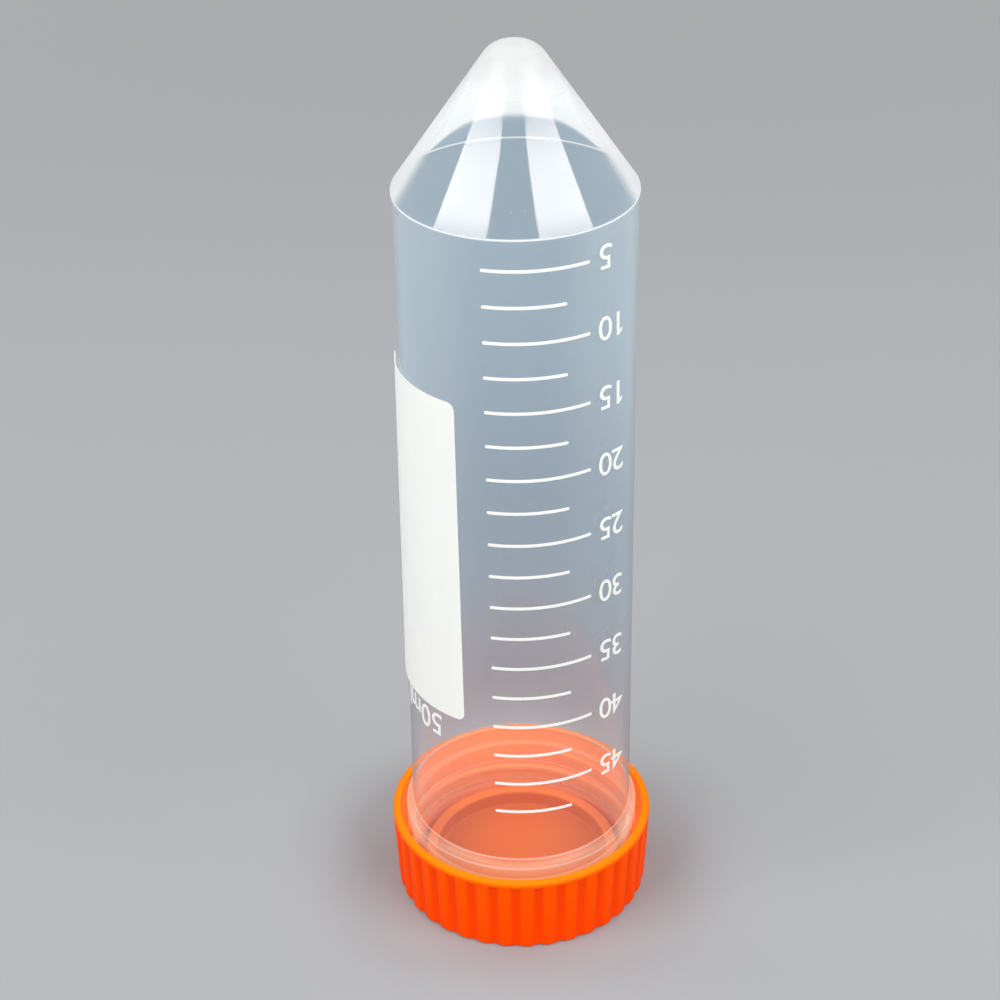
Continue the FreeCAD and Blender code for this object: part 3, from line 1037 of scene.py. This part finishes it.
def tube_material(finish, tube):
    """Clear-milky polypropylene: a glossy skin over a wall that lets most light through."""
    material, tree = new_material("clear_milky_plastic")
    height = height_of(tree, place_on_object(tree))
    behind = node(tree, "ShaderNodeNewGeometry").outputs["Backfacing"]
    slant = node(tree, "ShaderNodeLayerWeight", {"Blend": 0.5}).outputs["Facing"]
    cloud = haze(tree, scale=70.0, low=0.85, high=1.15)
    dust = specks(tree, scale=240.0, size=0.1, share=0.02)
    milk = wall_milk(tree, finish, tube, height, behind, slant)
    milk = maths(tree, "MULTIPLY_ADD", milk, cloud, product(tree, dust, DUST_SHARE))
    # The white zones: painted glow on the cone's walls, painted highlight lines, and the tip's
    # own milk.
    white = maths(
        tree, "MAXIMUM", cone_whiteness(tree, tube, height, behind, slant),
        light_lines(tree, finish, tube, height))
    share = maths(tree, "MAXIMUM", milk, product(tree, white, MOST_WHITE), clamp=True)
    top = fade(tree, height, tube.tip_height - 10 * MM, tube.tip_height - 2 * MM)
    bright = blend(tree, top, opaque(finish.cone_white), opaque(finish.tip_white))
    shade = wall_colours(tree, finish, tube, height, behind, cloud)
    shade = blend(tree, white, shade, bright)
    shade = blend(tree, dust, shade, DUST)
    relief = node(tree, "ShaderNodeBump", {
        "Height": scratches(tree, scale=1500.0, threshold=0.78), "Distance": 0.02 * MM,
        "Strength": 0.3}).outputs[0]
    clear = node(tree, "ShaderNodeBsdfTransparent", {
        "Color": wall_tint(tree, finish, tube, height, behind, slant)})
    wall = wall_shader(tree, tube, shade, height, behind)
    gloss = node(tree, "ShaderNodeBsdfGlossy", {
        "Color": SKIN_TINT, "Roughness": skin_roughness(tree, tube, height), "Normal": relief})
    shine = skin_shine(tree, tube, height, behind, relief)
    skin = mix_shaders(tree, shine, mix_shaders(tree, share, clear, wall), gloss)
    show(tree, let_lamps_through(tree, skin, LAMP_TINT))
    return material


def let_lamps_through(tree, shader, shade):
    """Lamps shine through the wall instead of casting a hard dark shadow."""
    lamp = node(tree, "ShaderNodeLightPath").outputs["Is Shadow Ray"]
    clear = node(tree, "ShaderNodeBsdfTransparent", {"Color": shade})
    return mix_shaders(tree, lamp, shader, clear)


def bore_material(tube):
    """Inside face of the wall: as good as clear, with a faint wet gloss below the shoulder."""
    material, tree = new_material("clear_bore")
    height = height_of(tree, place_on_object(tree))
    behind = node(tree, "ShaderNodeNewGeometry").outputs["Backfacing"]
    mirror = node(tree, "ShaderNodeFresnel", {"IOR": 1.45}).outputs[0]
    outward = maths(tree, "SUBTRACT", 1.0, behind)
    shine = maths(tree, "MINIMUM", product(tree, mirror, outward), BORE_SHINE)
    shoulder = tube.shoulder_height
    shine = product(tree, shine, fade(tree, height, shoulder - 5 * MM, shoulder, 1.0, 0.0))
    clear = node(tree, "ShaderNodeBsdfTransparent", {"Color": CLEAR})
    gloss = node(tree, "ShaderNodeBsdfGlossy", {
        "Color": CLEAR, "Roughness": haze(tree, scale=110.0, low=0.10, high=0.16)})
    show(tree, let_lamps_through(tree, mix_shaders(tree, shine, clear, gloss), CLEAR))
    return material


# ---------------------------------------------------------------- cap, ink and ground

CAP_GLOSS = (1.0, 0.35, 0.05, 1.0)
THIN_INK = (0.93, 0.93, 0.895, 1.0)
PIN_HOLE = (0.70, 0.72, 0.74, 1.0)
WORN_GROUND = (0.29, 0.295, 0.305, 1.0)
WORN_SHARE = 0.06
CAP_ROUGH = (0.40, 0.50)
INK_ROUGH = (0.34, 0.48)
# Depth inside the rib crests where the colour of each place fades in.
GROOVE_SHADE_DEPTHS = (0.03 * MM, 0.26 * MM)
INSIDE_DEPTHS = (0.6 * MM, 0.9 * MM)
FLOOR_DEPTHS = (2.0 * MM, 3.0 * MM)
# Share of the redder orange in a groove (painted shade), at the closed end and in the cloudy
# variation.
GROOVE_SHADE_RED, END_RED, CLOUD_RED = 0.75, 0.45, 0.2


def depth_in_skirt(tree, place, height, cap):
    """How far a point lies inside the cone that the rib crests touch."""
    draft = (cap.rim_radius - cap.end_radius) / cap.height
    crest = maths(tree, "MULTIPLY_ADD", height, draft, cap.end_radius)
    level = node(tree, "ShaderNodeVectorMath", {0: place, 1: (1, 1, 0)}, operation="MULTIPLY")
    across = node(tree, "ShaderNodeVectorMath", {0: level.outputs[0]}, operation="LENGTH")
    return maths(tree, "SUBTRACT", crest, across.outputs["Value"])


def cap_colours(tree, finish, cap, place, height, cloud):
    """Orange by place: ribs and grooves, lighter rim, inside and the floor in the plug ring."""
    orange, redder = opaque(finish.cap_orange), opaque(finish.cap_groove)
    depth = depth_in_skirt(tree, place, height, cap)
    # Painted light: the rim band is lighter orange all round.
    rim = fade(tree, height, cap.height - 1.1 * cap.plain_rim, cap.height + 0.1 * cap.plain_rim)
    inside = fade(tree, depth, *INSIDE_DEPTHS)
    # Painted shade: a redder orange in the grooves between the ribs.
    groove = fade(tree, depth, *GROOVE_SHADE_DEPTHS)
    most_red = maths(tree, "SUBTRACT", GROOVE_SHADE_RED, inside)
    groove = maths(tree, "MULTIPLY", groove, most_red, clamp=True)
    low = fade(tree, height, 0.9 * cap.height, 0.0, 0.0, END_RED)
    shade = blend(tree, low, orange, redder)
    shade = blend(tree, groove, shade, redder)
    shade = blend(tree, product(tree, cloud, CLOUD_RED), shade, redder)
    # Painted shade on the floor inside the plug ring, painted light on the rest of the inside.
    floor = fade(tree, height, cap.plug_top + 0.4 * MM, cap.plug_top - 0.4 * MM)
    floor = product(tree, floor, fade(tree, depth, *FLOOR_DEPTHS))
    hollow = blend(tree, floor, opaque(finish.cap_inside), opaque(finish.cap_floor))
    return blend(tree, rim, blend(tree, inside, shade, hollow), opaque(finish.cap_rim))


def cap_material(finish, cap):
    """Satin orange moulded plastic, lighter at the rim with painted light and redder between the
    ribs with painted shade.
    """
    material, tree = new_material("orange_moulded_plastic")
    place = place_on_object(tree)
    height = height_of(tree, place)
    cloud = haze(tree, scale=120.0, low=0.0, high=1.0)
    grain = node(tree, "ShaderNodeTexNoise", {"Vector": place, "Scale": 5200.0, "Detail": 2.0})
    marks = scratches(tree, scale=1200.0, threshold=0.74)
    relief = maths(tree, "ADD", grain.outputs["Fac"], marks)
    bump = node(tree, "ShaderNodeBump", {
        "Height": relief, "Distance": 0.03 * MM, "Strength": 0.25})
    show(tree, node(tree, "ShaderNodeBsdfPrincipled", {
        "Base Color": cap_colours(tree, finish, cap, place, height, cloud),
        "Roughness": fade(tree, cloud, 0.0, 1.0, *CAP_ROUGH), "Normal": bump.outputs[0],
        "IOR": 1.25, "Specular IOR Level": 0.1, "Specular Tint": CAP_GLOSS}))
    return material


def ink_material(finish):
    """White screen ink: faintly uneven, with pin holes, and thin enough to pass some light."""
    material, tree = new_material("white_screen_ink")
    cloud = haze(tree, scale=300.0, low=0.0, high=1.0)
    shade = blend(tree, cloud, opaque(finish.ink), THIN_INK)
    pin_holes = specks(tree, scale=900.0, size=0.16, share=0.012)
    shade = blend(tree, pin_holes, shade, PIN_HOLE)
    rough = fade(tree, cloud, 0.0, 1.0, *INK_ROUGH)
    ink = node(tree, "ShaderNodeBsdfPrincipled", {
        "Base Color": shade, "Roughness": rough, "IOR": 1.45})
    glow = node(tree, "ShaderNodeBsdfTranslucent", {"Color": shade})
    show(tree, mix_shaders(tree, finish.ink_passing, ink, glow))
    return material


def seen_directly(tree):
    """1 where the eye sees a place straight on, in a reflection or through clear plastic."""
    path = node(tree, "ShaderNodeLightPath")
    seen = maths(tree, "MAXIMUM", path.outputs["Is Camera Ray"], path.outputs["Is Glossy Ray"])
    return maths(tree, "MAXIMUM", seen, path.outputs["Is Transmission Ray"])


def ground_material(finish, studio):
    """Plain pale studio ground that runs into the backdrop's colour far from the tube."""
    material, tree = new_material("pale_ground")
    place = place_on_object(tree)
    cloud = node(tree, "ShaderNodeTexNoise", {"Vector": place, "Scale": 3.0})
    share = fade(tree, cloud.outputs["Fac"], *NOISE_RANGE, 0.0, WORN_SHARE)
    matt = node(tree, "ShaderNodeBsdfPrincipled", {
        "Base Color": blend(tree, share, opaque(finish.ground), WORN_GROUND),
        "Roughness": 0.9, "Specular IOR Level": 0.1})
    away = node(tree, "ShaderNodeVectorMath", {0: place}, operation="LENGTH").outputs["Value"]
    even = node(tree, "ShaderNodeEmission", {"Color": opaque(finish.backdrop), "Strength": 1.0})
    far = fade(tree, away, studio.ground_near, studio.ground_far)
    show(tree, mix_shaders(tree, product(tree, far, seen_directly(tree)), matt, even))
    return material


# ---------------------------------------------------------------- the studio

SENSOR_WIDTH = 36.0
# Strength of the world's light as it falls on things, and as the eye sees it.
WORLD_STRENGTH = (0.62, 1.0)
# Sight crosses four clear skins, and the way from there to a lamp crosses more.
CLEAR_BOUNCES = 24
FLOOR_GAP = 0.01 * MM


def place_camera(studio):
    """The camera looks down at the tube from in front of the scale."""
    camera = add("studio_camera", bpy.ops.object.camera_add)
    camera.data.sensor_width = SENSOR_WIDTH
    camera.data.lens = studio.focal_length
    camera.data.clip_start = 10 * MM
    turn = Matrix.Rotation(studio.camera_turn, 4, "Z")
    stand = Matrix.Translation((0, -studio.camera_distance, studio.camera_height))
    swing = Matrix.Rotation(-studio.camera_swing, 4, "Z")
    tilt = Matrix.Rotation(math.pi / 2 - studio.camera_tilt, 4, "X")
    roll = Matrix.Rotation(studio.camera_roll, 4, "Z")
    camera.matrix_world = turn @ stand @ swing @ tilt @ roll
    bpy.context.scene.camera = camera


def place_soft_box(name, studio, turn, rise, power):
    """A wide soft box that faces the tube from one side."""
    lamp = add(name, bpy.ops.object.light_add, type="AREA")
    lamp.data.shape = "RECTANGLE"
    lamp.data.size = studio.lamp_width
    lamp.data.size_y = studio.lamp_depth
    lamp.data.energy = power
    lamp.visible_camera = False
    target = Vector((0, 0, studio.lamp_target))
    away = Vector((
        math.cos(rise) * math.cos(turn), math.cos(rise) * math.sin(turn), math.sin(rise)))
    lamp.location = target + away * studio.lamp_distance
    lamp.rotation_euler = away.to_track_quat("Z", "Y").to_euler()


def light_world(finish):
    """Even soft light from all round, of the backdrop's colour."""
    scene = bpy.context.scene
    scene.world = scene.world or bpy.data.worlds.new("soft_world")
    scene.world.use_nodes = True
    tree = scene.world.node_tree
    tree.nodes.clear()
    sky = node(tree, "ShaderNodeBackground", {
        "Color": opaque(finish.backdrop),
        "Strength": fade(tree, seen_directly(tree), 0.0, 1.0, *WORLD_STRENGTH)})
    node(tree, "ShaderNodeOutputWorld", {"Surface": sky.outputs[0]})


def lay_floor(studio, finish):
    """The pale ground, just under the cap's closed end."""
    floor = add("floor", bpy.ops.mesh.primitive_plane_add, size=studio.ground_size)
    move_mesh(floor, (0, 0, -FLOOR_GAP))
    floor.data.materials.append(ground_material(finish, studio))


def build_studio(studio, finish):
    """Ground, soft boxes in pairs, a front fill, the world's light and the camera."""
    lay_floor(studio, finish)
    for hand, side in (("right", 1), ("left", -1)):
        place_soft_box(
            f"soft_box_{hand}", studio, FRONT + side * studio.lamp_turn, studio.lamp_rise,
            studio.lamp_power)
        place_soft_box(
            f"back_box_{hand}", studio, FRONT + side * studio.back_turn, studio.back_rise,
            studio.back_power)
    place_soft_box("front_fill", studio, FRONT, studio.fill_rise, studio.fill_power)
    light_world(finish)
    place_camera(studio)
    bpy.context.scene.view_settings.view_transform = "Standard"
    bpy.context.scene.cycles.transparent_max_bounces = CLEAR_BOUNCES


# ---------------------------------------------------------------- operators and panel

class TUBE_OT_moulding(bpy.types.Operator):
    """Build the clear tube with its cone, collar and threaded neck"""
    bl_idname = "conical_tube.tube_moulding"
    bl_label = "Tube Moulding"

    def execute(self, context):
        scene = context.scene
        build_tube(scene.tube_sizes, scene.thread_sizes, scene.tube_finish)
        return {"FINISHED"}


class TUBE_OT_cap(bpy.types.Operator):
    """Build the ribbed screw cap with its plug ring and inside thread"""
    bl_idname = "conical_tube.screw_cap"
    bl_label = "Screw Cap"

    def execute(self, context):
        scene = context.scene
        build_cap(scene.cap_sizes, scene.thread_sizes, scene.tube_finish)
        return {"FINISHED"}


class TUBE_OT_print(bpy.types.Operator):
    """Print the scale, its numerals, the writing panel and the capacity"""
    bl_idname = "conical_tube.printed_scale"
    bl_label = "Printed Scale"

    def execute(self, context):
        scene = context.scene
        build_print(scene.print_sizes, scene.tube_sizes, scene.tube_finish)
        return {"FINISHED"}


class TUBE_OT_studio(bpy.types.Operator):
    """Add the pale ground, the soft boxes and the camera"""
    bl_idname = "conical_tube.studio"
    bl_label = "Studio"

    def execute(self, context):
        build_studio(context.scene.tube_studio, context.scene.tube_finish)
        return {"FINISHED"}


class TUBE_PT_panel(bpy.types.Panel):
    """Lists the operators and the sizes"""
    bl_idname = "TUBE_PT_panel"
    bl_label = "Conical Tube"
    bl_space_type = "VIEW_3D"
    bl_region_type = "UI"
    bl_category = "Conical Tube"

    def draw(self, context):
        for operator in OPERATORS:
            self.layout.operator(operator.bl_idname)
        for group, kind in GROUPS.items():
            box = self.layout.box()
            box.label(text=kind.__name__)
            for name in kind.__annotations__:
                box.prop(getattr(context.scene, group), name)


OPERATORS = (TUBE_OT_moulding, TUBE_OT_cap, TUBE_OT_print, TUBE_OT_studio)
CLASSES = (*GROUPS.values(), *OPERATORS, TUBE_PT_panel)


def register():
    for kind in CLASSES:
        bpy.utils.register_class(kind)
    for group, kind in GROUPS.items():
        setattr(bpy.types.Scene, group, PointerProperty(type=kind))


def unregister():
    for group in GROUPS:
        delattr(bpy.types.Scene, group)
    for kind in reversed(CLASSES):
        bpy.utils.unregister_class(kind)


def main():
    register()
    bpy.ops.conical_tube.tube_moulding()
    bpy.ops.conical_tube.screw_cap()
    bpy.ops.conical_tube.printed_scale()
    bpy.ops.conical_tube.studio()
    deselect()


if __name__ == "__main__":
    main()
